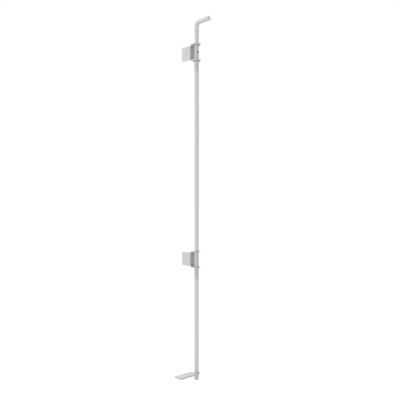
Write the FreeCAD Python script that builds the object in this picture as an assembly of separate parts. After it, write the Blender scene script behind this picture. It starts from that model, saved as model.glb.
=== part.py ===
"""Cane bolt: a round steel drop rod with a bent handle, two gate brackets and a foot pedal.

Millimetres. The origin is the centre of the rod's lower tip and +Z is up. The handle points
along +X, the pedal along -Y, and the brackets' mounting flanges run along -X.
"""
import FreeCAD, Part
import os
from math import cos, radians, sin, sqrt, tan

# ---------------------------------------------------------------- driving dimensions
# rod: one bar of 5/8 in steel, 48 in tall, with a bent handle
ROD_DIAMETER = 15.875
ROD_HEIGHT = 1219.2
BEND_RADIUS = 14.0
HANDLE_REACH = 57.5
TIP_CHAMFER = 1.0
LOCK_HOLE_DIAMETER = 8.6

# brackets: 1/8 in sheet, a web with two ears towards the rod and a slotted flange away from it
SHEET = 3.175
BRACKET_HEIGHTS = {"lower_bracket": 406.0, "upper_bracket": 1109.5}
BRACKET_TALL = 57.2
EAR_RADIUS = 14.0
WEB_INNER_X = -17.7
BEND_OUTSIDE = 6.0
FLANGE_END_X = -57.5
FLANGE_TALL = 47.2
FLANGE_CORNER = 5.5
SLOT_CENTRE_X = -32.5
SLOT_WIDTH = 4.3
SLOT_LENGTH = 26.0

# guide bushes: split nylon rings that snap into the ears
EAR_HOLE_RADIUS = 9.5
BUSH_OUTER_RADIUS = 9.45
BUSH_INNER_RADIUS = 7.98
BUSH_LIP_RADIUS = 10.9
BUSH_LIP = 0.9
BUSH_EAR_GAP = 0.05
BUSH_SLIT = 1.2

# foot pedal: 30 x 6 mm flat bar that rises a little towards its toe
PEDAL_WIDTH = 30.0
PEDAL_THICK = 6.0
PEDAL_TOE_Y = -89.5
PEDAL_SHOULDER_Y = -20.5
PEDAL_BEND_Y = -11.0
PEDAL_RISE_DEG = 3.9
PEDAL_CENTRE_Z = 22.2
TOE_CORNER = 3.0
SHOULDER_CORNER = 5.0
NECK_WIDTH = 12.0
TONGUE_WIDTH = 8.0
TONGUE_END_Y = 7.4
GROOVES = 4
GROOVE_FIRST_Y = -28.5
GROOVE_PITCH = 11.5
GROOVE_WIDTH = 4.2
GROOVE_DEPTH = 1.8
MORTISE_GAP = 0.1

# pedal screw: an M5 round head screw that locks the pedal's tongue in the rod
SCREW_DIAMETER = 5.0
SCREW_HOLE_DIAMETER = 5.2
SCREW_HEAD_DIAMETER = 10.2
SCREW_HEAD_TALL = 3.4
SCREW_HEAD_ROUND = 1.4
SCREW_SOCKET_ACROSS = 3.0
SCREW_SOCKET_DEPTH = 1.6
SCREW_BITE = 0.8
SPOT_FACE_X = 7.2
SPOT_FACE_DIAMETER = 11.2
WASHER_THICK = 1.2
WASHER_OUTER = 9.8
WASHER_INNER = 5.2
WASHER_SLIT = 0.8

# ---------------------------------------------------------------- worked-out sizes
ROD_RADIUS = ROD_DIAMETER / 2
HANDLE_AXIS_Z = ROD_HEIGHT - ROD_RADIUS
STRAIGHT_TOP_Z = HANDLE_AXIS_Z - BEND_RADIUS
WEB_OUTER_X = WEB_INNER_X - SHEET
BEND_INSIDE = BEND_OUTSIDE - SHEET
LOCK_HOLE_Z = BRACKET_HEIGHTS["upper_bracket"]
MARGIN = 1.0

Vector = FreeCAD.Vector
X_AXIS = Vector(1, 0, 0)
Y_AXIS = Vector(0, 1, 0)
Z_AXIS = Vector(0, 0, 1)


# ---------------------------------------------------------------- helpers
def box_between(low, high):
    """A box from its lowest to its highest corner."""
    size = Vector(*high) - Vector(*low)
    return Part.makeBox(size.x, size.y, size.z, Vector(*low))


def chamfered_bar(length, start, direction, chamfer):
    """A round bar of the rod's diameter whose far end has a small chamfer."""
    body = Part.makeCylinder(ROD_RADIUS, length - chamfer, start, direction)
    far = start + Vector(direction) * (length - chamfer)
    tip = Part.makeCone(ROD_RADIUS, ROD_RADIUS - chamfer, chamfer, far, direction)
    return body.fuse(tip)


def bent_profile(corner, out_a, out_b, length_a, length_b):
    """Closed wire of a sheet bent once: legs run from the outer corner along out_a and out_b."""
    a = Vector(*out_a)
    b = Vector(*out_b)
    centre = Vector(*corner) + (a + b) * BEND_OUTSIDE
    middle = (a + b) * (-1 / sqrt(2))
    outside = [centre - b * BEND_OUTSIDE, centre + middle * BEND_OUTSIDE, centre - a * BEND_OUTSIDE]
    inside = [centre - b * BEND_INSIDE, centre + middle * BEND_INSIDE, centre - a * BEND_INSIDE]
    end_a = Vector(*corner) + a * length_a
    end_b = Vector(*corner) + b * length_b
    edges = [
        Part.LineSegment(end_a, outside[0]).toShape(),
        Part.Arc(*outside).toShape(),
        Part.LineSegment(outside[2], end_b).toShape(),
        Part.LineSegment(end_b, end_b + a * SHEET).toShape(),
        Part.LineSegment(end_b + a * SHEET, inside[2]).toShape(),
        Part.Arc(*reversed(inside)).toShape(),
        Part.LineSegment(inside[0], end_a + b * SHEET).toShape(),
        Part.LineSegment(end_a + b * SHEET, end_a).toShape(),
    ]
    return Part.Wire(edges)


def prism(wire, depth):
    """The closed wire's face pushed along the depth vector."""
    return Part.Face(wire).extrude(depth)


def rounded_edges(solid, radius, wanted):
    """The solid with a fillet on every edge that the test picks."""
    return solid.makeFillet(radius, [edge for edge in solid.Edges if wanted(edge)])


def is_upright(edge, axis):
    """True for a straight edge along the axis."""
    if not isinstance(edge.Curve, Part.Line):
        return False
    return abs(abs(edge.Curve.Direction.dot(axis)) - 1.0) < 1e-6


# ---------------------------------------------------------------- rod
def cane_rod():
    """The rod with its bent handle, padlock hole, pedal mortise and screw hole."""
    lower = chamfered_bar(STRAIGHT_TOP_Z, Vector(0, 0, STRAIGHT_TOP_Z), -Z_AXIS, TIP_CHAMFER)
    section = Part.Face(Part.Wire(Part.makeCircle(ROD_RADIUS, Vector(0, 0, STRAIGHT_TOP_Z), Z_AXIS)))
    elbow = section.revolve(Vector(BEND_RADIUS, 0, STRAIGHT_TOP_Z), Y_AXIS, 90)
    handle_start = Vector(BEND_RADIUS, 0, HANDLE_AXIS_Z)
    handle = chamfered_bar(HANDLE_REACH - BEND_RADIUS, handle_start, X_AXIS, TIP_CHAMFER)
    rod = lower.fuse(elbow).fuse(handle).removeSplitter()

    across = ROD_DIAMETER + 2 * MARGIN
    lock_start = Vector(-across / 2, 0, LOCK_HOLE_Z)
    rod = rod.cut(Part.makeCylinder(LOCK_HOLE_DIAMETER / 2, across, lock_start, X_AXIS))

    half_wide = TONGUE_WIDTH / 2 + MORTISE_GAP
    half_tall = PEDAL_THICK / 2 + MORTISE_GAP
    mortise = box_between(
        (-half_wide, -across / 2, PEDAL_CENTRE_Z - half_tall),
        (half_wide, across / 2, PEDAL_CENTRE_Z + half_tall),
    )
    spot_start = Vector(SPOT_FACE_X, 0, PEDAL_CENTRE_Z)
    spot_face = Part.makeCylinder(SPOT_FACE_DIAMETER / 2, ROD_RADIUS, spot_start, X_AXIS)
    screw_start = Vector(0, 0, PEDAL_CENTRE_Z)
    screw_hole = Part.makeCylinder(SCREW_HOLE_DIAMETER / 2, ROD_RADIUS, screw_start, X_AXIS)
    return rod.cut(mortise).cut(spot_face).cut(screw_hole)


# ---------------------------------------------------------------- brackets
def bracket_channel(middle_z):
    """The web and both ears, with a rounded plan and a square corner notch that clears the flange."""
    half_tall = BRACKET_TALL / 2
    half_wide = EAR_RADIUS
    reach = EAR_RADIUS - WEB_OUTER_X
    depth = Vector(0, 2 * half_wide, 0)
    lower = bent_profile(
        (WEB_OUTER_X, -half_wide, middle_z - half_tall), (1, 0, 0), (0, 0, 1), reach, half_tall
    )
    upper = bent_profile(
        (WEB_OUTER_X, -half_wide, middle_z + half_tall), (1, 0, 0), (0, 0, -1), reach, half_tall
    )
    channel = prism(lower, depth).fuse(prism(upper, depth))
    bottom = middle_z - half_tall - MARGIN
    tall = BRACKET_TALL + 2 * MARGIN
    nose = Part.makeCylinder(EAR_RADIUS, tall, Vector(0, 0, bottom))
    body = box_between((WEB_OUTER_X, -half_wide, bottom), (0, half_wide, bottom + tall))
    channel = channel.common(nose.fuse(body))
    notch = box_between(
        (WEB_OUTER_X - MARGIN, -half_wide - MARGIN, bottom),
        (WEB_OUTER_X + BEND_OUTSIDE, -half_wide + BEND_OUTSIDE, bottom + tall),
    )
    return channel.cut(notch)


def bracket_flange(middle_z):
    """The flange: bent from the web's front edge, with rounded corners and one slot."""
    bottom = middle_z - FLANGE_TALL / 2
    corner = (WEB_INNER_X, -EAR_RADIUS, bottom)
    profile = bent_profile(corner, (-1, 0, 0), (0, 1, 0), WEB_INNER_X - FLANGE_END_X, EAR_RADIUS)
    flange = prism(profile, Vector(0, 0, FLANGE_TALL))
    flange = rounded_edges(
        flange,
        FLANGE_CORNER,
        lambda edge: is_upright(edge, Y_AXIS) and edge.CenterOfMass.x < FLANGE_END_X + SHEET,
    )
    slot_half = SLOT_LENGTH / 2 - SLOT_WIDTH / 2
    start_y = -EAR_RADIUS - MARGIN
    deep = SHEET + 2 * MARGIN
    slot = box_between(
        (SLOT_CENTRE_X - SLOT_WIDTH / 2, start_y, middle_z - slot_half),
        (SLOT_CENTRE_X + SLOT_WIDTH / 2, start_y + deep, middle_z + slot_half),
    )
    for end_z in (middle_z - slot_half, middle_z + slot_half):
        end = Part.makeCylinder(SLOT_WIDTH / 2, deep, Vector(SLOT_CENTRE_X, start_y, end_z), Y_AXIS)
        slot = slot.fuse(end)
    return flange.cut(slot)


def bracket(middle_z):
    """One bracket: channel, flange and the two ear holes."""
    body = bracket_channel(middle_z).fuse(bracket_flange(middle_z)).removeSplitter()
    bottom = middle_z - BRACKET_TALL / 2 - MARGIN
    holes = Part.makeCylinder(EAR_HOLE_RADIUS, BRACKET_TALL + 2 * MARGIN, Vector(0, 0, bottom))
    return body.cut(holes)


# ---------------------------------------------------------------- guide bushes
def guide_bush(ear_low_z):
    """A split bush with a lip on each side of the ear whose underside is at ear_low_z."""
    low = ear_low_z - BUSH_EAR_GAP
    high = ear_low_z + SHEET + BUSH_EAR_GAP
    sleeve = Part.makeCylinder(BUSH_OUTER_RADIUS, high - low, Vector(0, 0, low))
    lower_lip = Part.makeCylinder(BUSH_LIP_RADIUS, BUSH_LIP, Vector(0, 0, low - BUSH_LIP))
    upper_lip = Part.makeCylinder(BUSH_LIP_RADIUS, BUSH_LIP, Vector(0, 0, high))
    bush = sleeve.fuse(lower_lip).fuse(upper_lip)
    tall = high - low + 2 * BUSH_LIP
    bottom = Vector(0, 0, low - BUSH_LIP)
    bush = bush.cut(Part.makeCylinder(BUSH_INNER_RADIUS, tall, bottom)).removeSplitter()
    slit = box_between(
        (0, -BUSH_SLIT / 2, bottom.z - MARGIN),
        (BUSH_LIP_RADIUS + MARGIN, BUSH_SLIT / 2, bottom.z + tall + MARGIN),
    )
    return bush.cut(slit)


# ---------------------------------------------------------------- foot pedal
def pedal_side_profile():
    """Side view of the bar: level in the rod, then rising towards the toe."""
    half = PEDAL_THICK / 2
    lift = tan(radians(PEDAL_RISE_DEG)) * (PEDAL_BEND_Y - PEDAL_TOE_Y)
    points = [
        (TONGUE_END_Y, PEDAL_CENTRE_Z - half),
        (PEDAL_BEND_Y, PEDAL_CENTRE_Z - half),
        (PEDAL_TOE_Y, PEDAL_CENTRE_Z - half + lift),
        (PEDAL_TOE_Y, PEDAL_CENTRE_Z + half + lift),
        (PEDAL_BEND_Y, PEDAL_CENTRE_Z + half),
        (TONGUE_END_Y, PEDAL_CENTRE_Z + half),
    ]
    half_wide = PEDAL_WIDTH / 2
    vectors = [Vector(-half_wide, y, z) for y, z in points]
    return Part.makePolygon(vectors + vectors[:1])


def pedal_plan():
    """Tall block of the pedal's plan: tread, sloping shoulders, neck and tongue."""
    half_tread = PEDAL_WIDTH / 2
    half_neck = NECK_WIDTH / 2
    half_tongue = TONGUE_WIDTH / 2
    neck_y = PEDAL_BEND_Y - 1.0
    right_side = [
        (half_tread, PEDAL_TOE_Y),
        (half_tread, PEDAL_SHOULDER_Y),
        (half_neck, neck_y),
        (half_neck, -ROD_RADIUS),
        (half_tongue, -ROD_RADIUS),
        (half_tongue, TONGUE_END_Y),
    ]
    left_side = [(-x, y) for x, y in reversed(right_side)]
    vectors = [Vector(x, y, 0) for x, y in right_side + left_side]
    tall = PEDAL_CENTRE_Z * 2
    plan = prism(Part.makePolygon(vectors + vectors[:1]), Vector(0, 0, tall))
    plan = rounded_edges(
        plan, TOE_CORNER, lambda edge: is_upright(edge, Z_AXIS) and edge.CenterOfMass.y < PEDAL_TOE_Y + 1
    )
    return rounded_edges(
        plan,
        SHOULDER_CORNER,
        lambda edge: is_upright(edge, Z_AXIS) and abs(edge.CenterOfMass.y - PEDAL_SHOULDER_Y) < 0.1,
    )


def pedal_groove(centre_y):
    """A V-groove right across the tread's top face at centre_y."""
    rise = radians(PEDAL_RISE_DEG)
    top_z = PEDAL_CENTRE_Z + PEDAL_THICK / 2 + tan(rise) * (PEDAL_BEND_Y - centre_y)
    along = Vector(0, -cos(rise), sin(rise))
    upward = Vector(0, sin(rise), cos(rise))
    start = Vector(-PEDAL_WIDTH, centre_y, top_z)
    half = along * (GROOVE_WIDTH / 2)
    over = upward * MARGIN
    corners = [start - half + over, start - half, start - upward * GROOVE_DEPTH, start + half]
    corners.append(start + half + over)
    return prism(Part.makePolygon(corners + corners[:1]), Vector(2 * PEDAL_WIDTH, 0, 0))


def foot_pedal():
    """The pedal bar: grooved tread, neck, and a tongue that goes through the rod."""
    bar = prism(pedal_side_profile(), Vector(PEDAL_WIDTH, 0, 0))
    pedal = bar.common(pedal_plan())
    for index in range(GROOVES):
        pedal = pedal.cut(pedal_groove(GROOVE_FIRST_Y - index * GROOVE_PITCH))
    notch_start = Vector(TONGUE_WIDTH / 2 - SCREW_BITE, 0, PEDAL_CENTRE_Z)
    notch_radius = SCREW_DIAMETER / 2 + MORTISE_GAP
    return pedal.cut(Part.makeCylinder(notch_radius, TONGUE_WIDTH, notch_start, X_AXIS))


# ---------------------------------------------------------------- pedal screw and washer
def pedal_screw():
    """The lock screw: its tip bites the tongue's side, its head stands on the spring washer."""
    head_x = SPOT_FACE_X + WASHER_THICK
    tip_x = TONGUE_WIDTH / 2 - SCREW_BITE + MORTISE_GAP
    centre = Vector(0, 0, PEDAL_CENTRE_Z)
    shank = Part.makeCylinder(SCREW_DIAMETER / 2, head_x - tip_x, centre + X_AXIS * tip_x, X_AXIS)
    head = Part.makeCylinder(SCREW_HEAD_DIAMETER / 2, SCREW_HEAD_TALL, centre + X_AXIS * head_x, X_AXIS)
    top_x = head_x + SCREW_HEAD_TALL
    head = rounded_edges(
        head, SCREW_HEAD_ROUND, lambda edge: len(edge.Vertexes) == 1 and edge.CenterOfMass.x > top_x - 0.1
    )
    across = SCREW_SOCKET_ACROSS / sqrt(3)
    points = [
        Vector(top_x - SCREW_SOCKET_DEPTH, across * cos(radians(60 * i)), across * sin(radians(60 * i)))
        for i in range(6)
    ]
    socket = prism(Part.makePolygon(points + points[:1]), X_AXIS * (SCREW_SOCKET_DEPTH + MARGIN))
    socket.translate(centre)
    return shank.fuse(head).removeSplitter().cut(socket)


def pedal_lock_washer():
    """The split spring washer between the screw's head and the spot face."""
    start = Vector(SPOT_FACE_X, 0, PEDAL_CENTRE_Z)
    ring = Part.makeCylinder(WASHER_OUTER / 2, WASHER_THICK, start, X_AXIS)
    ring = ring.cut(Part.makeCylinder(WASHER_INNER / 2, WASHER_THICK, start, X_AXIS))
    slit = box_between(
        (SPOT_FACE_X - MARGIN, -WASHER_SLIT / 2, PEDAL_CENTRE_Z - WASHER_OUTER),
        (SPOT_FACE_X + WASHER_THICK + MARGIN, WASHER_SLIT / 2, PEDAL_CENTRE_Z),
    )
    return ring.cut(slit)


# ---------------------------------------------------------------- nodes
def all_nodes():
    """Every separate piece by its node name."""
    nodes = {"cane_rod": cane_rod(), "foot_pedal": foot_pedal()}
    nodes["pedal_screw"] = pedal_screw()
    nodes["pedal_lock_washer"] = pedal_lock_washer()
    for name, middle_z in BRACKET_HEIGHTS.items():
        nodes[name] = bracket(middle_z)
        nodes[name + "_bottom_bush"] = guide_bush(middle_z - BRACKET_TALL / 2)
        nodes[name + "_top_bush"] = guide_bush(middle_z + BRACKET_TALL / 2 - SHEET)
    return nodes


def main():
    """Write one STEP file for each piece."""
    os.makedirs("parts", exist_ok=True)
    for name, shape in all_nodes().items():
        if not shape.isValid() or len(shape.Solids) != 1:
            raise ValueError(name + " is not one valid solid")
        solid = shape.Solids[0]
        solid.exportStep("parts/" + name + ".step")
        print(name, round(solid.Volume, 1), solid.BoundBox)


main()
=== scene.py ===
"""Cane bolt: the visual model of a gate's drop rod, its brackets, bushes and foot pedal.

Metres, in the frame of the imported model: +Z up the rod, the handle along +X, the pedal along -Y.
"""

import logging
import math
from dataclasses import dataclass
from enum import Enum
from typing import Sequence

import bmesh
import bpy
from mathutils import Matrix, Vector


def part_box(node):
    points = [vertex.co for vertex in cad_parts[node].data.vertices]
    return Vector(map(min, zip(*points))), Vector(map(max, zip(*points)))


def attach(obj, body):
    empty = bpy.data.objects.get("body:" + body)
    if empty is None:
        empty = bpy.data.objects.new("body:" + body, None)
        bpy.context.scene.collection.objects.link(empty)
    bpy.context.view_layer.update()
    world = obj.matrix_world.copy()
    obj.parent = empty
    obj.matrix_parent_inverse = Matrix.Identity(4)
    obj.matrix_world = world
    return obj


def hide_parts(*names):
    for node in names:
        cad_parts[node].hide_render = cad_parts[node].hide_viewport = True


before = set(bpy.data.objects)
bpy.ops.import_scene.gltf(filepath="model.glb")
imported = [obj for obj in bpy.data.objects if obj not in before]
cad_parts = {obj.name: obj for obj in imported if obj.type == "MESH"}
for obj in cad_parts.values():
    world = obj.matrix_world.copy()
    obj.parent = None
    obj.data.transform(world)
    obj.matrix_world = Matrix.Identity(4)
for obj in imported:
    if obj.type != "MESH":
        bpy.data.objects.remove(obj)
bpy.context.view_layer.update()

MM = 0.001
SAME_PLACE = 1e-6
FLAT_ANGLE = 0.4
LOG = logging.getLogger("cane_bolt")
Point2 = tuple[float, float]
Point3 = tuple[float, float, float]


class Axis(Enum):
    """The axis that a prism is pushed along, as the index of that coordinate."""

    X = 0
    Y = 1
    Z = 2


class Join(Enum):
    """How a second solid changes the first."""

    CUT = "DIFFERENCE"
    ADD = "UNION"
    KEEP_COMMON = "INTERSECT"


# ---------------------------------------------------------------- node trees
class Nodes:
    """A short way to add and link nodes in one shader or geometry tree."""

    def __init__(self, tree: bpy.types.NodeTree) -> None:
        """Takes the tree that the nodes go in."""
        self.tree = tree

    def add(self, kind: str, **settings: object) -> bpy.types.Node:
        """Adds one node.

        Args:
            kind: the node's type name.
            settings: attributes to set on the node.

        Returns:
            The new node.
        """
        node = self.tree.nodes.new(kind)
        for name, value in settings.items():
            setattr(node, name, value)
        return node

    def put(self, target: bpy.types.NodeSocket, value: object) -> None:
        """Gives an input socket a value, or a link where the value is a socket."""
        if isinstance(value, bpy.types.NodeSocket):
            self.tree.links.new(value, target)
        else:
            target.default_value = value

    def math(self, operation: str, first: object, second: object = 0.0) -> bpy.types.NodeSocket:
        """One Math node.

        Args:
            operation: the Math node's operation.
            first: a number or a socket.
            second: a number or a socket.

        Returns:
            The node's result.
        """
        node = self.add("ShaderNodeMath", operation=operation)
        self.put(node.inputs[0], first)
        self.put(node.inputs[1], second)
        return node.outputs[0]

    def swing(self, noise: object, depth: float) -> bpy.types.NodeSocket:
        """A noise of 0 to 1 turned into a swing about 0, as wide as its depth."""
        return self.math("MULTIPLY", self.math("SUBTRACT", noise, 0.5), depth)

    def ramp(self, value: object, none: float, full: float) -> bpy.types.NodeSocket:
        """A smooth step from 0, where the value is none, to 1, where it is full."""
        step = self.add("ShaderNodeMapRange", interpolation_type="SMOOTHSTEP")
        self.put(step.inputs["Value"], value)
        self.put(step.inputs["From Min"], none)
        self.put(step.inputs["From Max"], full)
        return step.outputs["Result"]

    def relief(self, shader: bpy.types.Node, height: object, strength: float, distance: float) -> None:
        """Gives a shader a bump.

        Args:
            shader: the shader whose normals are bumped.
            height: the height field.
            strength: the bump's strength.
            distance: how tall a height of 1 is.
        """
        bump = self.add("ShaderNodeBump")
        bump.inputs["Strength"].default_value = strength
        bump.inputs["Distance"].default_value = distance
        self.put(bump.inputs["Height"], height)
        self.put(shader.inputs["Normal"], bump.outputs["Normal"])

    def vector(self, x: object = 0.0, y: object = 0.0, z: object = 0.0) -> bpy.types.NodeSocket:
        """A vector made of three numbers or sockets."""
        node = self.add("ShaderNodeCombineXYZ")
        for socket, value in zip(node.inputs, (x, y, z)):
            self.put(socket, value)
        return node.outputs[0]


class GeometryTree(Nodes):
    """A Geometry Nodes tree with named inputs, which ends in Realize Instances and Set Material."""

    def __init__(self, name: str, sizes: dict[str, float | int]) -> None:
        """Makes the tree.

        Args:
            name: the tree's name.
            sizes: each input's name and its default value.
        """
        super().__init__(bpy.data.node_groups.new(name, "GeometryNodeTree"))
        self.tree.interface.new_socket("Geometry", in_out="OUTPUT", socket_type="NodeSocketGeometry")
        self.identifiers: dict[str, str] = {}
        for label, value in sizes.items():
            kind = "NodeSocketInt" if isinstance(value, int) else "NodeSocketFloat"
            socket = self.tree.interface.new_socket(label, in_out="INPUT", socket_type=kind)
            socket.default_value = value
            self.identifiers[label] = socket.identifier
        self.source = self.add("NodeGroupInput")

    def size(self, label: str) -> bpy.types.NodeSocket:
        """The named input's socket."""
        return self.source.outputs[label]

    def end(self, geometry: bpy.types.NodeSocket, material: bpy.types.Material) -> None:
        """Finishes the tree.

        Args:
            geometry: what the tree gives out.
            material: the finish on every face.
        """
        realize = self.add("GeometryNodeRealizeInstances")
        paint = self.add("GeometryNodeSetMaterial")
        result = self.add("NodeGroupOutput")
        self.put(realize.inputs["Geometry"], geometry)
        self.put(paint.inputs["Geometry"], realize.outputs["Geometry"])
        self.put(paint.inputs["Material"], material)
        self.put(result.inputs["Geometry"], paint.outputs["Geometry"])

    def build(self, name: str, values: dict[str, float | int]) -> bpy.types.Object:
        """Runs the tree and returns its result as a plain mesh object.

        Args:
            name: the new object's name.
            values: the inputs that differ from their defaults.

        Returns:
            The object, with no modifier left on it.
        """
        holder = new_object(name, bpy.data.meshes.new(name))
        modifier = holder.modifiers.new(self.tree.name, "NODES")
        modifier.node_group = self.tree
        for label, value in values.items():
            modifier[self.identifiers[label]] = value
        return settled(holder)


# ---------------------------------------------------------------- meshes
def new_object(name: str, mesh: bpy.types.Mesh) -> bpy.types.Object:
    """Puts a mesh in the scene as an object at the origin."""
    obj = bpy.data.objects.new(name, mesh)
    bpy.context.scene.collection.objects.link(obj)
    return obj


def settled(obj: bpy.types.Object) -> bpy.types.Object:
    """Turns an object's modifiers into plain mesh.

    Args:
        obj: an object with modifiers.

    Returns:
        The same object, with the result as its mesh and no modifiers.
    """
    bpy.context.view_layer.update()
    graph = bpy.context.evaluated_depsgraph_get()
    mesh = bpy.data.meshes.new_from_object(obj.evaluated_get(graph), depsgraph=graph)
    obj.modifiers.clear()
    mesh.name = obj.name
    obj.data = mesh
    return obj


def joined(first: bpy.types.Object, second: bpy.types.Object, how: Join) -> bpy.types.Object:
    """Changes the first solid with the second, which is used up.

    Args:
        first: the solid that stays.
        second: the solid that is taken away, added or intersected.
        how: which of the three.

    Returns:
        The first object with its new mesh.
    """
    modifier = first.modifiers.new("join", "BOOLEAN")
    modifier.operation = how.value
    modifier.solver = "EXACT"
    modifier.object = second
    settled(first)
    bpy.data.objects.remove(second)
    return first


def prism(name: str, outline: Sequence[Point2], axis: Axis, low: float, high: float) -> bpy.types.Object:
    """A closed solid of one outline.

    Args:
        name: the object's name.
        outline: the points in the plane across the axis, in X, Y, Z order of the other two.
        axis: the axis that the outline is pushed along.
        low: where it starts on the axis.
        high: where it ends.

    Returns:
        The solid as an object, with its faces pointing outwards.
    """
    work = bmesh.new()
    ring = []
    for a, b in outline:
        place = [a, b]
        place.insert(axis.value, low)
        ring.append(work.verts.new(place))
    face = work.faces.new(ring)
    pushed = bmesh.ops.extrude_face_region(work, geom=[face])
    shift = Vector((0.0, 0.0, 0.0))
    shift[axis.value] = high - low
    moved = [item for item in pushed["geom"] if isinstance(item, bmesh.types.BMVert)]
    bmesh.ops.translate(work, verts=moved, vec=shift)
    bmesh.ops.recalc_face_normals(work, faces=work.faces)
    return from_bmesh(name, work)


def from_bmesh(name: str, work: bmesh.types.BMesh) -> bpy.types.Object:
    """Writes a bmesh into a new object and frees it."""
    mesh = bpy.data.meshes.new(name)
    work.to_mesh(mesh)
    work.free()
    return new_object(name, mesh)


def arc(centre: Point2, radius: float, start: float, end: float, steps: int) -> list[Point2]:
    """Points along an arc.

    Args:
        centre: the arc's centre.
        radius: its radius.
        start: first angle in degrees.
        end: last angle in degrees.
        steps: how many pieces it is cut into.

    Returns:
        One point more than steps.
    """
    angles = [math.radians(start + (end - start) * i / steps) for i in range(steps + 1)]
    return [(centre[0] + radius * math.cos(a), centre[1] + radius * math.sin(a)) for a in angles]


def rounded(corners: Sequence[Point3], steps: int = 8) -> list[Point2]:
    """An outline whose corners are rounded.

    Args:
        corners: x, y and radius of each corner in order; radius 0 stays sharp.
        steps: pieces in each rounded corner.

    Returns:
        The outline's points.
    """
    points: list[Point2] = []
    count = len(corners)
    for i, (x, y, radius) in enumerate(corners):
        if radius == 0.0:
            points.append((x, y))
            continue
        here = Vector((x, y))
        before = (Vector(corners[i - 1][:2]) - here).normalized()
        after = (Vector(corners[(i + 1) % count][:2]) - here).normalized()
        half = before.angle(after) / 2
        reach = radius / math.tan(half)
        centre = here + (before + after).normalized() * (radius / math.sin(half))
        start = here + before * reach - centre
        sweep = (here + after * reach - centre).angle_signed(start)
        first = math.degrees(math.atan2(start.y, start.x))
        points += arc((centre.x, centre.y), radius, first, first + math.degrees(sweep), steps)
    return points


def circle(centre: Point2, radius: float, around: int) -> list[Point2]:
    """Evenly spaced points round a circle.

    Args:
        centre: the circle's centre.
        radius: its radius.
        around: how many points.

    Returns:
        The points, anticlockwise.
    """
    return arc(centre, radius, 0.0, 360.0 - 360.0 / around, around - 1)


def lathe(name: str, side: Sequence[Point2], around: int, middle: float) -> bpy.types.Object:
    """A solid turned round an axis along X.

    Args:
        name: the object's name.
        side: x and radius from one end of the axis to the other.
        around: how many faces go round.
        middle: the axis's height.

    Returns:
        The closed solid.
    """
    work = bmesh.new()
    turn = [math.tau * i / around for i in range(around)]
    rings = []
    for x, radius in side:
        spots = turn if radius else [0.0]
        ring = [(x, radius * math.cos(a), middle + radius * math.sin(a)) for a in spots]
        rings.append([work.verts.new(place) for place in ring])
    for first, second in zip(rings, rings[1:]):
        for i in range(around):
            j = (i + 1) % around
            corners = [ring[k % len(ring)] for ring, k in ((first, i), (first, j), (second, j), (second, i))]
            work.faces.new(list(dict.fromkeys(corners)))
    bmesh.ops.recalc_face_normals(work, faces=work.faces)
    return from_bmesh(name, work)


def finished(obj: bpy.types.Object, width: float, segments: int = 2, angle: float = 32.0) -> bpy.types.Object:
    """Eases the sharp edges and shades the rest smooth.

    Args:
        obj: a closed solid.
        width: how far each edge is eased.
        segments: faces across the eased edge.
        angle: edges sharper than this many degrees are eased.

    Returns:
        The same object.
    """
    work = bmesh.new()
    work.from_mesh(obj.data)
    bmesh.ops.remove_doubles(work, verts=work.verts, dist=SAME_PLACE)
    flat = math.radians(FLAT_ANGLE)
    bmesh.ops.dissolve_limit(work, angle_limit=flat, verts=work.verts, edges=work.edges, delimit={"NORMAL"})
    work.to_mesh(obj.data)
    work.free()
    bevel = obj.modifiers.new("eased edges", "BEVEL")
    bevel.width = width
    bevel.segments = segments
    bevel.limit_method = "ANGLE"
    bevel.angle_limit = math.radians(angle)
    bevel.miter_outer = "MITER_ARC"
    settled(obj)
    for face in obj.data.polygons:
        face.use_smooth = True
    obj.data.set_sharp_from_angle(angle=math.radians(angle))
    level = obj.modifiers.new("flat faces stay flat", "WEIGHTED_NORMAL")
    level.keep_sharp = True
    return settled(obj)


def covered(obj: bpy.types.Object, material: bpy.types.Material) -> bpy.types.Object:
    """Gives every face of a piece one material."""
    obj.data.materials.clear()
    obj.data.materials.append(material)
    for face in obj.data.polygons:
        face.material_index = 0
    return obj


def middle_height(node: str) -> float:
    """The height of a CAD node's middle."""
    low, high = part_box(node)
    return (low.z + high.z) / 2


def placed(obj: bpy.types.Object, node: str, body: str) -> bpy.types.Object:
    """Ties a piece to the frame.

    Args:
        obj: the finished piece.
        node: the CAD node that it stands for.
        body: the body that carries it.

    Returns:
        The same object.
    """
    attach(obj, body)
    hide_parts(node)
    LOG.info("%s: %d faces on %s", obj.name, len(obj.data.polygons), body)
    return obj


# ---------------------------------------------------------------- finishes
def blank_material(name: str) -> tuple[bpy.types.Material, Nodes, bpy.types.Node]:
    """A new material, its nodes and its shader."""
    made = bpy.data.materials.new(name)
    made.use_nodes = True
    return made, Nodes(made.node_tree), made.node_tree.nodes["Principled BSDF"]


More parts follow.
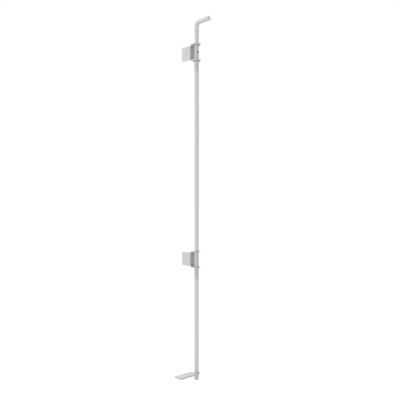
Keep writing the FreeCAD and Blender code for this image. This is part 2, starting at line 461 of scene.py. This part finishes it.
@dataclass(frozen=True)
class ZincFinish:
    """Satin zinc plating on steel: soft mottling, fine scratches and painted shade in places.

    tone is the base colour's level. The shade bands are pairs of heights, and the fold is an X and a Y in a
    bracket: between the one and beyond the other the tone is lower, as painted shade in place of the
    bracket's shadow.
    """

    name: str
    tone: float = 0.64
    metallic: float = 0.25
    roughness: float = 0.36
    mottle_scale: float = 120.0
    mottle_detail: float = 3.0
    mottle_depth: float = 0.05
    mottle_rough: float = 0.22
    mottle_height: float = 1.5
    grain: Point3 = (1600.0, 1600.0, 220.0)
    grain_detail: float = 5.0
    grain_depth: float = 0.045
    grain_rough: float = 0.12
    bump: float = 0.03
    bump_distance: float = 0.2 * MM
    # Painted shade: bands between pairs of heights where the tone is lowered, for a bracket's shadow on the
    # rod.
    painted_shade_bands: tuple[Point2, ...] = ()
    band_shade_loss: float = 0.24
    band_core: float = 0.6
    # Painted shade on a bracket's web and the bends beside it, past the fold's X and Y.
    fold: Point2 | None = None
    fold_shade_loss: float = 0.17
    fold_shade_blend: float = 3.0 * MM
    warmth: float = 0.004

    def material(self) -> bpy.types.Material:
        """Builds the material.

        Returns:
            A node material on Object coordinates.
        """
        made, nodes, shader = blank_material(self.name)
        place = nodes.add("ShaderNodeTexCoord").outputs["Object"]
        mottle = self.noise(nodes, place, (self.mottle_scale,) * 3, self.mottle_detail)
        grain = self.noise(nodes, place, self.grain, self.grain_detail)
        clouds = nodes.swing(mottle, self.mottle_depth * 2)
        level = nodes.math("ADD", clouds, nodes.swing(grain, self.grain_depth * 2))
        level = nodes.math("ADD", level, self.tone)
        # Painted shade: the tone drops in the bands.
        if self.painted_shade_bands:
            band_shade = nodes.math("MULTIPLY", self.band_shade_mask(nodes, place, grain), self.band_shade_loss)
            level = nodes.math("SUBTRACT", level, band_shade)
        # Painted shade past the fold, on the bracket's web.
        if self.fold:
            fold_shade = nodes.math("MULTIPLY", self.fold_shade_mask(nodes, place), self.fold_shade_loss)
            level = nodes.math("SUBTRACT", level, fold_shade)
        tinted = nodes.math("ADD", level, self.warmth)
        nodes.put(shader.inputs["Base Color"], nodes.vector(tinted, level, tinted))
        rough = nodes.math("ADD", nodes.swing(mottle, self.mottle_rough), self.roughness)
        rough = nodes.math("ADD", rough, nodes.swing(grain, self.grain_rough))
        nodes.put(shader.inputs["Roughness"], rough)
        shader.inputs["Metallic"].default_value = self.metallic
        height = nodes.math("ADD", grain, nodes.math("MULTIPLY", mottle, self.mottle_height))
        nodes.relief(shader, height, self.bump, self.bump_distance)
        return made

    def noise(self, nodes: Nodes, place: object, scale: Point3, detail: float) -> bpy.types.NodeSocket:
        """One noise on stretched coordinates.

        Args:
            nodes: the tree.
            place: the coordinates.
            scale: how often the noise repeats per metre along each axis.
            detail: its octaves.

        Returns:
            The noise's value, 0 to 1.
        """
        spread = nodes.add("ShaderNodeMapping")
        nodes.put(spread.inputs["Vector"], place)
        spread.inputs["Scale"].default_value = scale
        cloud = nodes.add("ShaderNodeTexNoise")
        nodes.put(cloud.inputs["Vector"], spread.outputs["Vector"])
        cloud.inputs["Scale"].default_value = 1.0
        cloud.inputs["Detail"].default_value = detail
        return cloud.outputs["Fac"]

    def band_shade_mask(self, nodes: Nodes, place: object, grain: object) -> bpy.types.NodeSocket:
        """The bands of painted shade between heights.

        Args:
            nodes: the tree.
            place: the coordinates.
            grain: the fine noise that breaks the bands up.

        Returns:
            0 outside the bands, and the grain's value in them.
        """
        split = nodes.add("ShaderNodeSeparateXYZ")
        nodes.put(split.inputs["Vector"], place)
        total: object = 0.0
        for low, high in self.painted_shade_bands:
            away = nodes.math("ABSOLUTE", nodes.math("SUBTRACT", split.outputs["Z"], (low + high) / 2))
            half = (high - low) / 2
            total = nodes.math("ADD", total, nodes.ramp(away, half, half * self.band_core))
        return nodes.math("MULTIPLY", total, grain)

    def fold_shade_mask(self, nodes: Nodes, place: object) -> bpy.types.NodeSocket:
        """Painted shade on the web and in the folds beside it.

        Args:
            nodes: the tree.
            place: the coordinates.

        Returns:
            1 below the fold's X and past its Y, falling to 0 over the blend.
        """
        split = nodes.add("ShaderNodeSeparateXYZ")
        nodes.put(split.inputs["Vector"], place)
        edge_x, edge_y = self.fold
        across = nodes.ramp(split.outputs["X"], edge_x + self.fold_shade_blend, edge_x)
        along = nodes.ramp(split.outputs["Y"], edge_y - self.fold_shade_blend, edge_y)
        return nodes.math("MULTIPLY", across, along)


@dataclass(frozen=True)
class NylonFinish:
    """Matte moulded nylon, slightly cloudy."""

    name: str
    tone: float = 0.45
    tone_depth: float = 0.08
    roughness: float = 0.55
    rough_depth: float = 0.2
    cloud_scale: float = 400.0
    cloud_detail: float = 4.0
    bump: float = 0.1
    bump_distance: float = 0.1 * MM

    def material(self) -> bpy.types.Material:
        """Builds the material.

        Returns:
            A node material on Object coordinates.
        """
        made, nodes, shader = blank_material(self.name)
        noise = nodes.add("ShaderNodeTexNoise")
        nodes.put(noise.inputs["Vector"], nodes.add("ShaderNodeTexCoord").outputs["Object"])
        noise.inputs["Scale"].default_value = self.cloud_scale
        noise.inputs["Detail"].default_value = self.cloud_detail
        cloud = noise.outputs["Fac"]
        level = nodes.math("ADD", nodes.swing(cloud, self.tone_depth), self.tone)
        nodes.put(shader.inputs["Base Color"], nodes.vector(level, level, level))
        rough = nodes.math("ADD", nodes.swing(cloud, self.rough_depth), self.roughness)
        nodes.put(shader.inputs["Roughness"], rough)
        nodes.relief(shader, cloud, self.bump, self.bump_distance)
        return made


# ---------------------------------------------------------------- drop rod
@dataclass
class DropRod:
    """The bent bar with its padlock hole, the pedal's mortise and the screw's spot face."""

    finish: ZincFinish
    pedal: "FootPedal"
    node: str = "cane_rod"
    body: str = "drop_rod"
    bend_radius: float = 14.0 * MM
    tip_chamfer: float = 1.0 * MM
    lock_hole_radius: float = 4.3 * MM
    spot_face: float = 7.2 * MM
    spot_radius: float = 5.6 * MM
    mortise_gap: float = 0.1 * MM
    edge: float = 0.25 * MM
    around: int = 96
    bend_steps: int = 28
    hole_steps: int = 48
    spot_steps: int = 60
    margin: float = 1.0 * MM

    def bar_tree(self, material: bpy.types.Material) -> GeometryTree:
        """A round bar along a bent path.

        Args:
            material: the bar's finish.

        Returns:
            The tree, with the bar's sizes as its inputs.
        """
        sizes = {
            "Bar radius": 0.008,
            "Bend radius": 0.014,
            "Axis height": 1.2,
            "Reach": 0.05,
            "Around": 96,
            "Bend pieces": 28,
        }
        tree = GeometryTree("Bent bar", sizes)
        line = tree.add("GeometryNodeMeshLine")
        line.inputs["Count"].default_value = 3
        index = tree.add("GeometryNodeInputIndex").outputs["Index"]
        along = tree.math("MULTIPLY", tree.math("GREATER_THAN", index, 1.5), tree.size("Reach"))
        up = tree.math("MULTIPLY", tree.math("GREATER_THAN", index, 0.5), tree.size("Axis height"))
        move = tree.add("GeometryNodeSetPosition")
        tree.put(move.inputs["Geometry"], line.outputs["Mesh"])
        tree.put(move.inputs["Position"], tree.vector(along, 0.0, up))
        path = tree.add("GeometryNodeMeshToCurve")
        tree.put(path.inputs["Mesh"], move.outputs["Geometry"])
        bend = tree.add("GeometryNodeFilletCurve", mode="POLY")
        tree.put(bend.inputs["Curve"], path.outputs["Curve"])
        tree.put(bend.inputs["Radius"], tree.size("Bend radius"))
        tree.put(bend.inputs["Count"], tree.size("Bend pieces"))
        section = tree.add("GeometryNodeCurvePrimitiveCircle", mode="RADIUS")
        tree.put(section.inputs["Radius"], tree.size("Bar radius"))
        tree.put(section.inputs["Resolution"], tree.size("Around"))
        sweep = tree.add("GeometryNodeCurveToMesh")
        tree.put(sweep.inputs["Curve"], bend.outputs["Curve"])
        tree.put(sweep.inputs["Profile Curve"], section.outputs["Curve"])
        sweep.inputs["Fill Caps"].default_value = True
        tree.end(sweep.outputs["Mesh"], material)
        return tree

    def build(self) -> bpy.types.Object:
        """Makes the rod.

        Returns:
            The finished piece.
        """
        low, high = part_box(self.node)
        radius = high.y
        axis_z = high.z - radius
        material = self.finish.material()
        values = {
            "Bar radius": radius,
            "Bend radius": self.bend_radius,
            "Axis height": axis_z,
            "Reach": high.x,
            "Around": self.around,
            "Bend pieces": self.bend_steps,
        }
        rod = self.bar_tree(material).build("drop_rod_bar", values)
        self.chamfer_tips(rod)
        reach = radius + self.margin
        hole = circle((0.0, middle_height("upper_bracket")), self.lock_hole_radius, self.hole_steps)
        joined(rod, prism("hole", hole, Axis.X, -reach, reach), Join.CUT)
        face = circle((0.0, middle_height("pedal_lock_washer")), self.spot_radius, self.spot_steps)
        joined(rod, prism("spot", face, Axis.X, self.spot_face, reach), Join.CUT)
        joined(rod, self.mortise(reach), Join.CUT)
        finished(rod, self.edge)
        covered(rod, material)
        return placed(rod, self.node, self.body)

    def mortise(self, reach: float) -> bpy.types.Object:
        """The slot through the rod that takes the pedal's tongue."""
        half = self.pedal.tongue_width / 2 + self.mortise_gap
        tall = self.pedal.thick / 2 + self.mortise_gap
        middle = self.pedal.level_z()
        low, high = middle - tall, middle + tall
        outline = [(-half, low), (half, low), (half, high), (-half, high)]
        return prism("mortise", outline, Axis.Y, -reach, reach)

    def chamfer_tips(self, rod: bpy.types.Object) -> None:
        """Cuts the small chamfer round both end faces of the plain bent bar."""
        work = bmesh.new()
        work.from_mesh(rod.data)
        bmesh.ops.remove_doubles(work, verts=work.verts, dist=SAME_PLACE / 10)
        caps = [face for face in work.faces if len(face.verts) > 4]
        rims = [edge for face in caps for edge in face.edges]
        bmesh.ops.bevel(work, geom=rims, offset=self.tip_chamfer, segments=3, profile=0.5, affect="EDGES")
        work.to_mesh(rod.data)
        work.free()


# ---------------------------------------------------------------- gate bracket
@dataclass
class GateBracket:
    """One pressed bracket: a web, two ears round the rod and a slotted flange for the gate."""

    node: str
    material: bpy.types.Material
    body: str = "brackets"
    sheet: float = 3.175 * MM
    bend: float = 6.0 * MM
    web_inner: float = -17.7 * MM
    flange_tall: float = 47.2 * MM
    flange_corner: float = 5.5 * MM
    slot_x: float = -32.5 * MM
    slot_width: float = 4.3 * MM
    slot_length: float = 26.0 * MM
    ear_hole: float = 9.5 * MM
    edge: float = 0.35 * MM
    margin: float = 1.0 * MM
    bend_steps: int = 10
    ear_steps: int = 40
    hole_steps: int = 72
    slot_steps: int = 24

    def channel(self, open_x: float, web_x: float, half: float, middle: float) -> list[Point2]:
        """Outline of a sheet bent into a C, seen along its bends.

        Args:
            open_x: where both legs end.
            web_x: the web's outer face.
            half: half the height over both legs.
            middle: the height of the C's centre line.

        Returns:
            The closed outline.
        """
        side = 1.0 if open_x > web_x else -1.0
        turn = 0.0 if side < 0 else 180.0
        out = web_x + side * self.bend
        inner = self.bend - self.sheet
        points: list[Point2] = [(open_x, middle - half)]
        low_centre = (out, middle - half + self.bend)
        high_centre = (out, middle + half - self.bend)
        points += arc(low_centre, self.bend, 270.0, 270.0 - 90.0 * side, self.bend_steps)
        points += arc(high_centre, self.bend, turn, 90.0, self.bend_steps)
        points += [(open_x, middle + half), (open_x, middle + half - self.sheet)]
        points += arc(high_centre, inner, 90.0, turn, self.bend_steps)
        points += arc(low_centre, inner, 270.0 - 90.0 * side, 270.0, self.bend_steps)
        points.append((open_x, middle - half + self.sheet))
        return points

    def build(self) -> bpy.types.Object:
        """Makes the bracket.

        Returns:
            The finished piece.
        """
        low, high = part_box(self.node)
        middle = middle_height(self.node)
        bracket = joined(self.ears(low, high, middle), self.flange(low, high, middle), Join.ADD)
        hole = circle((0.0, 0.0), self.ear_hole, self.hole_steps)
        over = self.margin
        joined(bracket, prism("ear_hole", hole, Axis.Z, low.z - over, high.z + over), Join.CUT)
        finished(bracket, self.edge)
        covered(bracket, self.material)
        bracket.name = self.node.replace("bracket", "gate_bracket")
        return placed(bracket, self.node, self.body)

    def ears(self, low: Vector, high: Vector, middle: float) -> bpy.types.Object:
        """The web with both ears, trimmed round the rod and notched where the flange bends."""
        web_outer = self.web_inner - self.sheet
        half_wide = high.y
        outline = self.channel(high.x, web_outer, high.z - middle, middle)
        ears = prism(self.node, outline, Axis.Y, -half_wide, half_wide)
        over = self.margin
        left = web_outer - over
        plan = [(left, -half_wide)]
        plan += arc((0.0, 0.0), high.x, -90.0, 90.0, self.ear_steps)
        plan.append((left, half_wide))
        joined(ears, prism("plan", plan, Axis.Z, low.z - over, high.z + over), Join.KEEP_COMMON)
        near = self.bend - half_wide
        far = -half_wide - over
        right = web_outer + self.bend
        outline = [(left, near), (right, near), (right, far), (left, far)]
        return joined(ears, prism("notch", outline, Axis.Z, low.z - over, high.z + over), Join.CUT)

    def flange(self, low: Vector, high: Vector, middle: float) -> bpy.types.Object:
        """The front flange, bent from the web's edge, with its slot."""
        half = self.flange_tall / 2
        outline = self.channel(low.x, self.web_inner, high.y, 0.0)
        flange = prism("flange", outline, Axis.Z, middle - half, middle + half)
        right = self.web_inner + self.margin
        corners = [
            (right, middle - half, 0.0),
            (right, middle + half, 0.0),
            (low.x, middle + half, self.flange_corner),
            (low.x, middle - half, self.flange_corner),
        ]
        over = high.y + self.margin
        side_view = prism("side_view", rounded(corners), Axis.Y, -over, 0.0)
        joined(flange, side_view, Join.KEEP_COMMON)
        radius = self.slot_width / 2
        end = self.slot_length / 2 - radius
        slot = arc((self.slot_x, middle + end), radius, 0.0, 180.0, self.slot_steps)
        slot += arc((self.slot_x, middle - end), radius, 180.0, 360.0, self.slot_steps)
        return joined(flange, prism("slot", slot, Axis.Y, -over, over), Join.CUT)


# ---------------------------------------------------------------- guide bushes
@dataclass
class GuideBushes:
    """The four split nylon bushes that snap into the ears."""

    finish: NylonFinish
    body: str = "guide_bushes"
    nodes: tuple[str, ...] = (
        "upper_bracket_top_bush",
        "upper_bracket_bottom_bush",
        "lower_bracket_top_bush",
        "lower_bracket_bottom_bush",
    )
    inner: float = 7.98 * MM
    sleeve: float = 9.45 * MM
    lip_tall: float = 0.9 * MM
    slit: float = 1.2 * MM
    sleeve_clear: float = 0.05 * MM
    sleeve_slit: float = 0.01
    edge: float = 0.15 * MM
    around: int = 72

    def tree(self, material: bpy.types.Material) -> GeometryTree:
        """A split sleeve with a lip at each end.

        Args:
            material: the bushes' finish.

        Returns:
            The tree, with the bush's sizes as its inputs.
        """
        sizes = {
            "Inner radius": 0.008,
            "Sleeve radius": 0.0095,
            "Sleeve clearance": 0.00005,
            "Lip radius": 0.011,
            "Lip height": 0.001,
            "Base height": 0.0,
            "Height": 0.005,
            "Slit angle": 0.1,
            "Sleeve slit": 0.01,
            "Around": 72,
        }
        tree = GeometryTree("Split bush", sizes)
        inner = tree.size("Inner radius")
        lip_tall = tree.size("Lip height")
        slit = tree.size("Slit angle")
        wide_slit = tree.math("ADD", slit, tree.size("Sleeve slit"))
        inside = tree.math("ADD", inner, tree.size("Sleeve clearance"))
        short = tree.math("SUBTRACT", tree.size("Height"), lip_tall)
        base = tree.math("DIVIDE", lip_tall, 2.0)
        sleeve = self.ring(tree, (inside, tree.size("Sleeve radius")), (base, short), wide_slit)
        lip = self.ring(tree, (inner, tree.size("Lip radius")), (0.0, lip_tall), slit)
        ends = tree.add("GeometryNodeMeshLine")
        ends.inputs["Count"].default_value = 2
        tree.put(ends.inputs["Offset"], tree.vector(0.0, 0.0, short))
        lips = tree.add("GeometryNodeInstanceOnPoints")
        tree.put(lips.inputs["Points"], ends.outputs["Mesh"])
        tree.put(lips.inputs["Instance"], lip)
        solid = tree.add("GeometryNodeRealizeInstances")
        tree.put(solid.inputs["Geometry"], lips.outputs["Instances"])
        union = tree.add("GeometryNodeMeshBoolean", operation="UNION", solver="EXACT")
        tree.put(union.inputs["Mesh 2"], sleeve)
        tree.put(union.inputs["Mesh 2"], solid.outputs["Geometry"])
        move = tree.add("GeometryNodeTransform")
        tree.put(move.inputs["Geometry"], union.outputs["Mesh"])
        tree.put(move.inputs["Translation"], tree.vector(0.0, 0.0, tree.size("Base height")))
        tree.end(move.outputs["Geometry"], material)
        return tree

    def ring(
        self, tree: GeometryTree, radii: tuple[object, object], heights: tuple[object, object], slit: object
    ) -> bpy.types.NodeSocket:
        """A square-edged split ring.

        Args:
            tree: the tree that it is made in.
            radii: the ring's inner and outer radius.
            heights: the height of its underside, and how tall it is.
            slit: the angle that is left open.

        Returns:
            The ring's mesh.
        """
        inner, outer = radii
        base, tall = heights
        path = tree.add("GeometryNodeCurveArc", mode="RADIUS")
        tree.put(path.inputs["Resolution"], tree.size("Around"))
        tree.put(path.inputs["Radius"], tree.math("DIVIDE", tree.math("ADD", inner, outer), 2.0))
        tree.put(path.inputs["Start Angle"], tree.math("DIVIDE", slit, 2.0))
        tree.put(path.inputs["Sweep Angle"], tree.math("SUBTRACT", math.tau, slit))
        section = tree.add("GeometryNodeCurvePrimitiveQuadrilateral")
        tree.put(section.inputs["Width"], tree.math("SUBTRACT", outer, inner))
        tree.put(section.inputs["Height"], tall)
        sweep = tree.add("GeometryNodeCurveToMesh")
        tree.put(sweep.inputs["Curve"], path.outputs["Curve"])
        tree.put(sweep.inputs["Profile Curve"], section.outputs["Curve"])
        sweep.inputs["Fill Caps"].default_value = True
        move = tree.add("GeometryNodeTransform")
        tree.put(move.inputs["Geometry"], sweep.outputs["Mesh"])
        middle = tree.math("ADD", tree.math("DIVIDE", tall, 2.0), base)
        tree.put(move.inputs["Translation"], tree.vector(0.0, 0.0, middle))
        return move.outputs["Geometry"]

    def build(self) -> list[bpy.types.Object]:
        """Makes the four bushes.

        Returns:
            The finished pieces.
        """
        material = self.finish.material()
        tree = self.tree(material)
        made = []
        for node in self.nodes:
            low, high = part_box(node)
            values = {
                "Inner radius": self.inner,
                "Sleeve radius": self.sleeve,
                "Sleeve clearance": self.sleeve_clear,
                "Lip radius": high.y,
                "Lip height": self.lip_tall,
                "Base height": low.z,
                "Height": high.z - low.z,
                "Slit angle": self.slit / self.sleeve,
                "Sleeve slit": self.sleeve_slit,
                "Around": self.around,
            }
            bush = tree.build(node.replace("bush", "guide_bush"), values)
            finished(bush, self.edge)
            covered(bush, material)
            made.append(placed(bush, node, self.body))
        return made


# ---------------------------------------------------------------- foot pedal
@dataclass
class FootPedal:
    """The flat pedal: a grooved tread that rises to its toe, a neck and a tongue in the rod."""

    finish: ZincFinish
    node: str = "foot_pedal"
    body: str = "drop_rod"
    thick: float = 6.0 * MM
    rise: float = 3.9
    bend_y: float = -11.0 * MM
    shoulder_y: float = -20.5 * MM
    toe_corner: float = 3.0 * MM
    shoulder_corner: float = 5.0 * MM
    neck_width: float = 12.0 * MM
    neck_step: float = 1.0 * MM
    tongue_width: float = 8.0 * MM
    grooves: int = 4
    groove_first: float = -28.5 * MM
    groove_pitch: float = 11.5 * MM
    groove_width: float = 4.2 * MM
    groove_depth: float = 1.8 * MM
    edge: float = 0.4 * MM
    edge_faces: int = 3
    edge_angle: float = 25.0
    margin: float = 1.0 * MM

    def level_z(self) -> float:
        """Height of the middle of the tongue."""
        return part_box(self.node)[0].z + self.thick / 2

    def build(self) -> bpy.types.Object:
        """Makes the pedal.

        Returns:
            The finished piece.
        """
        low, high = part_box(self.node)
        material = self.finish.material()
        rod_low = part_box("cane_rod")[0].y
        over = self.margin
        pedal = prism("foot_pedal_bar", self.side_view(low, high), Axis.X, low.x, high.x)
        plan = prism("plan", self.plan(low, high, rod_low), Axis.Z, low.z - over, high.z + over)
        joined(pedal, plan, Join.KEEP_COMMON)
        joined(pedal, self.groove_cutter(high, material), Join.CUT)
        finished(pedal, self.edge, self.edge_faces, self.edge_angle)
        covered(pedal, material)
        return placed(pedal, self.node, self.body)

    def side_view(self, low: Vector, high: Vector) -> list[Point2]:
        """The bar's outline seen along X: level in the rod, then rising."""
        lift = math.tan(math.radians(self.rise)) * (self.bend_y - low.y)
        under = low.z
        over = low.z + self.thick
        return [
            (high.y, under),
            (self.bend_y, under),
            (low.y, under + lift),
            (low.y, over + lift),
            (self.bend_y, over),
            (high.y, over),
        ]

    def plan(self, low: Vector, high: Vector, rod_front: float) -> list[Point2]:
        """The pedal's outline from above, with rounded toe and shoulders."""
        tread = high.x
        neck = self.neck_width / 2
        tongue = self.tongue_width / 2
        neck_y = self.bend_y - self.neck_step
        right = [
            (tread, low.y, self.toe_corner),
            (tread, self.shoulder_y, self.shoulder_corner),
            (neck, neck_y, 0.0),
            (neck, rod_front, 0.0),
            (tongue, rod_front, 0.0),
            (tongue, high.y, 0.0),
        ]
        left = [(-x, y, radius) for x, y, radius in reversed(right)]
        return rounded(right + left)

    def groove_cutter(self, high: Vector, material: bpy.types.Material) -> bpy.types.Object:
        """The V-shaped bars that cut the tread's grooves, as one object in their place."""
        sizes = {"Grooves": 4, "Pitch": 0.01, "Groove width": 0.004, "Groove depth": 0.002, "Length": 0.03}
        tree = GeometryTree("Tread grooves", sizes)
        back = tree.math("MULTIPLY", tree.size("Pitch"), -1.0)
        line = tree.add("GeometryNodeMeshLine")
        tree.put(line.inputs["Count"], tree.size("Grooves"))
        tree.put(line.inputs["Offset"], tree.vector(0.0, back, 0.0))
        bar = tree.add("GeometryNodeMeshCylinder", fill_type="NGON")
        bar.inputs["Vertices"].default_value = 4
        bar.inputs["Radius"].default_value = 1.0
        tree.put(bar.inputs["Depth"], tree.size("Length"))
        turn = tree.add("GeometryNodeTransform")
        tree.put(turn.inputs["Geometry"], bar.outputs["Mesh"])
        turn.inputs["Rotation"].default_value = (0.0, math.radians(90.0), 0.0)
        squeeze = tree.add("GeometryNodeTransform")
        tree.put(squeeze.inputs["Geometry"], turn.outputs["Geometry"])
        half = tree.math("DIVIDE", tree.size("Groove width"), 2.0)
        tree.put(squeeze.inputs["Scale"], tree.vector(1.0, half, tree.size("Groove depth")))
        spread = tree.add("GeometryNodeInstanceOnPoints")
        tree.put(spread.inputs["Points"], line.outputs["Mesh"])
        tree.put(spread.inputs["Instance"], squeeze.outputs["Geometry"])
        tree.end(spread.outputs["Instances"], material)
        rise = math.radians(self.rise)
        values = {
            "Grooves": self.grooves,
            "Pitch": self.groove_pitch / math.cos(rise),
            "Groove width": self.groove_width,
            "Groove depth": self.groove_depth,
            "Length": 2 * high.x + 2 * self.margin,
        }
        cutter = tree.build("groove_cutter", values)
        top = self.level_z() + self.thick / 2 + math.tan(rise) * (self.bend_y - self.groove_first)
        start = Matrix.Translation((0.0, self.groove_first, top))
        cutter.data.transform(start @ Matrix.Rotation(-rise, 4, "X"))
        return cutter


# ---------------------------------------------------------------- pedal screw
@dataclass
class PedalScrew:
    """The screw that locks the pedal's tongue, and the spring washer under its head."""

    finish: ZincFinish
    body: str = "drop_rod"
    socket_across: float = 3.0 * MM
    socket_depth: float = 1.6 * MM
    shank: float = 2.5 * MM
    shank_chamfer: float = 0.5 * MM
    head_round: float = 1.4 * MM
    washer_inner: float = 2.6 * MM
    washer_gap: float = 0.8 * MM
    edge: float = 0.12 * MM
    around: int = 64
    round_steps: int = 6
    margin: float = 1.0 * MM

    def build(self) -> list[bpy.types.Object]:
        """Makes the screw and its washer.

        Returns:
            The finished pieces.
        """
        material = self.finish.material()
        return [self.screw(material), self.washer(material)]

    def screw(self, material: bpy.types.Material) -> bpy.types.Object:
        """Turns the screw's outline round its axis and cuts the socket.

        Args:
            material: the screw's finish.

        Returns:
            The finished screw.
        """
        low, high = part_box("pedal_screw")
        middle = middle_height("pedal_screw")
        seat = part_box("pedal_lock_washer")[1].x
        ease, shank, tip = self.head_round, self.shank, self.shank_chamfer
        side = [(low.x, 0.0), (low.x, shank - tip), (low.x + tip, shank), (seat, shank), (seat, high.y)]
        side += arc((high.x - ease, high.y - ease), ease, 90.0, 0.0, self.round_steps)
        side += [(high.x, 0.0)]
        screw = lathe("pedal_lock_screw", side, self.around, middle)
        hexagon = circle((0.0, middle), self.socket_across / math.sqrt(3.0), 6)
        bottom = high.x - self.socket_depth
        joined(screw, prism("socket", hexagon, Axis.X, bottom, high.x + self.margin), Join.CUT)
        finished(screw, self.edge)
        covered(screw, material)
        return placed(screw, "pedal_screw", self.body)

    def washer(self, material: bpy.types.Material) -> bpy.types.Object:
        """A flat ring with one split.

        Args:
            material: the washer's finish.

        Returns:
            The finished washer.
        """
        low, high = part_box("pedal_lock_washer")
        centre = (0.0, middle_height("pedal_lock_washer"))
        gap = math.degrees(self.washer_gap / high.y)
        start = gap / 2 - 90.0
        end = start + 360.0 - gap
        outline = arc(centre, high.y, start, end, self.around)
        outline += arc(centre, self.washer_inner, end, start, self.around)
        washer = prism("pedal_spring_washer", outline, Axis.X, low.x, high.x)
        finished(washer, self.edge)
        covered(washer, material)
        return placed(washer, "pedal_lock_washer", self.body)


# ---------------------------------------------------------------- studio
WHITE = (1.0, 1.0, 1.0, 1.0)


@dataclass(frozen=True)
class SoftBox:
    """A square soft light: the side of its square in metres, and its power in watts."""

    name: str
    place: Point3
    side: float
    power: float


@dataclass
class Studio:
    """A pale floor, soft lights and the camera."""

    azimuth: float = 43.0
    distance: float = 1.554
    eye_height: float = 0.608
    aside: float = 0.0116
    lens: float = 41.13
    ambient: float = 0.87
    ambient_slope: Point3 = (-0.29, -0.05, 0.10)
    floor_reach: float = 30.0
    floor_z: float = -0.5 * MM
    floor_tone: float = 0.8
    floor_glow: float = 0.5
    lights: tuple[SoftBox, ...] = (
        SoftBox("key", (-1.9, -3.0, 0.8), 2.4, 5.0),
        SoftBox("top", (-0.4, 0.2, 3.6), 2.5, 8.0),
    )

    def build(self) -> None:
        """Sets up the world, the floor, the lights and the camera."""
        bpy.context.scene.view_settings.view_transform = "Standard"
        self.world()
        self.floor()
        for light in self.lights:
            self.hang(light)
        self.camera()

    def world(self) -> None:
        """A white surround to the camera, and to the object a pale one that darkens towards +X."""
        world = bpy.data.worlds.new("studio")
        bpy.context.scene.world = world
        world.use_nodes = True
        nodes = Nodes(world.node_tree)
        world.node_tree.nodes.clear()
        soft = nodes.add("ShaderNodeBackground")
        soft.inputs["Color"].default_value = WHITE
        slope = nodes.add("ShaderNodeVectorMath", operation="DOT_PRODUCT")
        nodes.put(slope.inputs[0], nodes.add("ShaderNodeTexCoord").outputs["Generated"])
        slope.inputs[1].default_value = self.ambient_slope
        nodes.put(soft.inputs["Strength"], nodes.math("ADD", slope.outputs["Value"], self.ambient))
        white = nodes.add("ShaderNodeBackground")
        white.inputs["Color"].default_value = WHITE
        seen = nodes.add("ShaderNodeLightPath")
        mix = nodes.add("ShaderNodeMixShader")
        nodes.put(mix.inputs[0], seen.outputs["Is Camera Ray"])
        nodes.put(mix.inputs[1], soft.outputs["Background"])
        nodes.put(mix.inputs[2], white.outputs["Background"])
        nodes.put(nodes.add("ShaderNodeOutputWorld").inputs["Surface"], mix.outputs["Shader"])

    def floor(self) -> None:
        """A wide pale floor just under the rod's tip, which glows a little to the camera alone."""
        half = self.floor_reach
        work = bmesh.new()
        corners = [(-half, -half), (half, -half), (half, half), (-half, half)]
        work.faces.new([work.verts.new((x, y, self.floor_z)) for x, y in corners])
        floor = from_bmesh("floor", work)
        made, nodes, shader = blank_material("pale floor")
        shader.inputs["Base Color"].default_value = (self.floor_tone,) * 3 + (1.0,)
        shader.inputs["Roughness"].default_value = 1.0
        shader.inputs["Specular IOR Level"].default_value = 0.0
        shader.inputs["Emission Color"].default_value = WHITE
        seen = nodes.add("ShaderNodeLightPath").outputs["Is Camera Ray"]
        nodes.put(shader.inputs["Emission Strength"], nodes.math("MULTIPLY", seen, self.floor_glow))
        covered(floor, made)

    def hang(self, box: SoftBox) -> None:
        """Adds a soft light, aimed at the middle of the rod."""
        light = bpy.data.lights.new(box.name, "AREA")
        light.size = box.side
        light.energy = box.power
        obj = bpy.data.objects.new(box.name, light)
        bpy.context.scene.collection.objects.link(obj)
        obj.location = box.place
        aim = Vector((0.0, 0.0, self.eye_height)) - Vector(box.place)
        obj.rotation_euler = aim.to_track_quat("-Z", "Y").to_euler()

    def camera(self) -> None:
        """The camera, level with the middle of the rod."""
        turn = math.radians(self.azimuth)
        back = Vector((math.sin(turn), -math.cos(turn), 0.0))
        right = Vector((math.cos(turn), math.sin(turn), 0.0))
        camera = bpy.data.cameras.new("camera")
        camera.lens = self.lens
        camera.sensor_width = 36.0
        camera.clip_start = 0.01
        obj = bpy.data.objects.new("camera", camera)
        bpy.context.scene.collection.objects.link(obj)
        obj.location = back * self.distance + right * self.aside + Vector((0.0, 0.0, self.eye_height))
        obj.rotation_euler = (math.radians(90.0), 0.0, turn)
        bpy.context.scene.camera = obj


# ---------------------------------------------------------------- the object
# Painted shade on the rod: its bands reach this far below and above each bracket's middle.
SHADE_BAND_BELOW = 75.0 * MM
SHADE_BAND_ABOVE = 35.0 * MM
BRACKETS = ("upper_bracket", "lower_bracket")
MIDDLES = [middle_height(node) for node in reversed(BRACKETS)]
ROD_SHADE_BANDS = tuple((middle - SHADE_BAND_BELOW, middle + SHADE_BAND_ABOVE) for middle in MIDDLES)
# The rod's finish carries bands of painted shade round both brackets.
ROD_ZINC = ZincFinish("rod zinc", tone=0.73, grain=(1800.0, 1800.0, 40.0), painted_shade_bands=ROD_SHADE_BANDS)
# The bracket's fold carries painted shade on its web and bends.
BRACKET_ZINC = ZincFinish("bracket zinc", tone=0.68, fold=(-16.5 * MM, -7.5 * MM))
PEDAL_ZINC = ZincFinish("pedal zinc")
SCREW_STEEL = ZincFinish("screw steel", tone=0.66, roughness=0.35)
BUSH_NYLON = NylonFinish("bush nylon")


def main() -> None:
    """Builds the studio, then every sub-assembly in order."""
    logging.basicConfig(level=logging.INFO, format="%(message)s")
    Studio().build()
    pedal = FootPedal(PEDAL_ZINC)
    DropRod(ROD_ZINC, pedal).build()
    bracket_material = BRACKET_ZINC.material()
    for node in BRACKETS:
        GateBracket(node, bracket_material).build()
    GuideBushes(BUSH_NYLON).build()
    pedal.build()
    PedalScrew(SCREW_STEEL).build()


if __name__ == "__main__":
    main()
